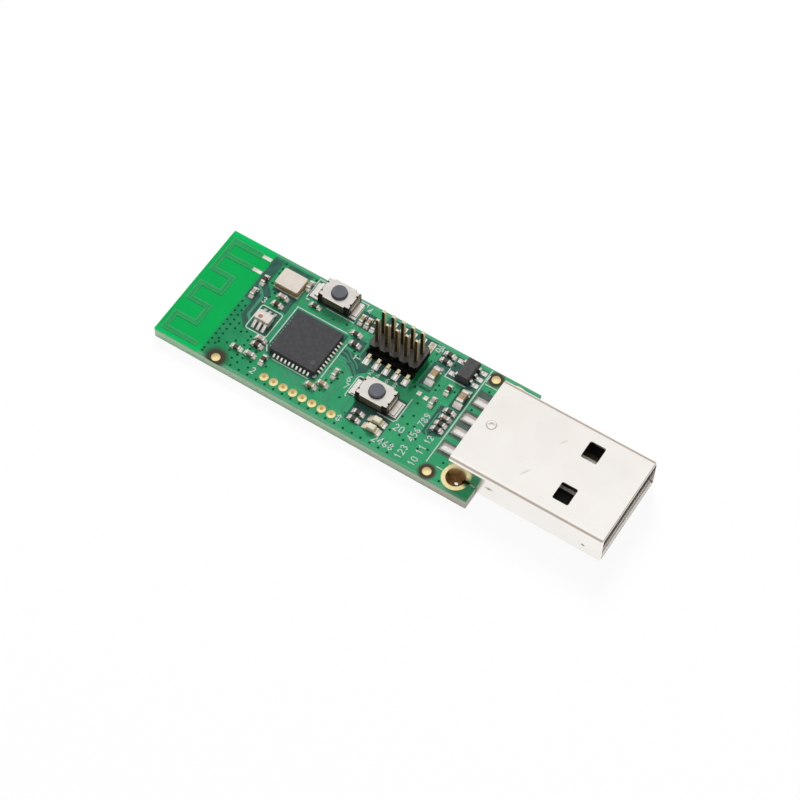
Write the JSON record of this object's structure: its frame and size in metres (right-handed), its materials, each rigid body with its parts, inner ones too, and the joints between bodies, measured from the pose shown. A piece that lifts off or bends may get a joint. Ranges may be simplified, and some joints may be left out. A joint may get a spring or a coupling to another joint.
{
  "type": "usb radio stick",
  "caption": "Bare-board USB radio stick: green circuit board with a printed antenna, radio chip, push switches and pin header, and a steel USB type A plug.",
  "frame": {"origin": "under the middle of the whole stick, on the plane of the board's underside", "axes": "+X along the stick from the antenna end to the plug's mouth, +Y from the long edge beside the test pads to the other long edge, +Z out of the component side"},
  "size_m": [0.0566, 0.0162, 0.0071],
  "materials": {
    "board": "green lacquered fibreglass board",
    "antenna_copper": "copper under green lacquer",
    "gold": "gold plated",
    "tin": "tinned, bright",
    "chip_plastic": "dark moulded, matt",
    "crystal_ceramic": "ceramic",
    "crystal_metal": "plain metal lid",
    "white_ceramic": "white ceramic",
    "switch_plastic": "black moulded",
    "switch_metal": "plain stamped metal",
    "plunger_plastic": "dark grey moulded",
    "header_plastic": "black moulded",
    "pin_metal": "tinned pins",
    "lamp_base": "pale laminate",
    "lamp_lens": "cloudy clear resin",
    "tan_ceramic": "tan ceramic",
    "grey_ceramic": "grey ceramic",
    "resistor_black": "dark glaze",
    "choke_brown": "dark brown ceramic",
    "plug_steel": "bright nickelled steel",
    "plug_plastic": "black moulded",
    "contact_metal": "gold plated blades"
  },
  "bodies": {
    "board_assembly": {"circuit_board": "board", "antenna_trace": "antenna_copper", "test_pads": "gold", "round_lands": "gold", "solder_lands": "tin", "near_plated_hole": "gold", "far_plated_hole": "gold", "radio_chip": "chip_plastic", "radio_chip_leads": "tin", "chip_solder": "tin", "crystal_base": "crystal_ceramic", "crystal_lid": "crystal_metal", "balun_body": "white_ceramic", "balun_terminals": "tin", "near_switch_base": "switch_plastic", "near_switch_cover": "switch_metal", "near_switch_terminals": "switch_metal", "near_switch_dome": "switch_metal", "far_switch_base": "switch_plastic", "far_switch_cover": "switch_metal", "far_switch_terminals": "switch_metal", "far_switch_dome": "switch_metal", "header_housing": "header_plastic", "header_pins": "pin_metal", "regulator_body": "chip_plastic", "regulator_leads": "tin", "lamp_bases": "lamp_base", "lamp_lenses": "lamp_lens", "lamp_terminals": "gold", "tan_capacitor_bodies": "tan_ceramic", "grey_capacitor_bodies": "grey_ceramic", "resistor_bodies": "resistor_black", "choke_bodies": "choke_brown", "chip_end_caps": "tin", "plug_shell": "plug_steel", "plug_insulator": "plug_plastic", "plug_contact_1": "contact_metal", "plug_contact_2": "contact_metal", "plug_contact_3": "contact_metal", "plug_contact_4": "contact_metal", "tail_solder": "tin"},
    "near_plunger": {"near_switch_plunger": "plunger_plastic"},
    "far_plunger": {"far_switch_plunger": "plunger_plastic"}
  },
  "joints": [
    {"name": "near_switch_press", "type": "slide", "parent": "board_assembly", "child": "near_plunger", "axis": [0, 0, -1], "range_m": [0, 0.00025], "stiffness_N_per_m": 8000, "deforming": ["near_switch_dome"]},
    {"name": "far_switch_press", "type": "slide", "parent": "board_assembly", "child": "far_plunger", "axis": [0, 0, -1], "range_m": [0, 0.00025], "stiffness_N_per_m": 8000, "deforming": ["far_switch_dome"]}
  ]
}
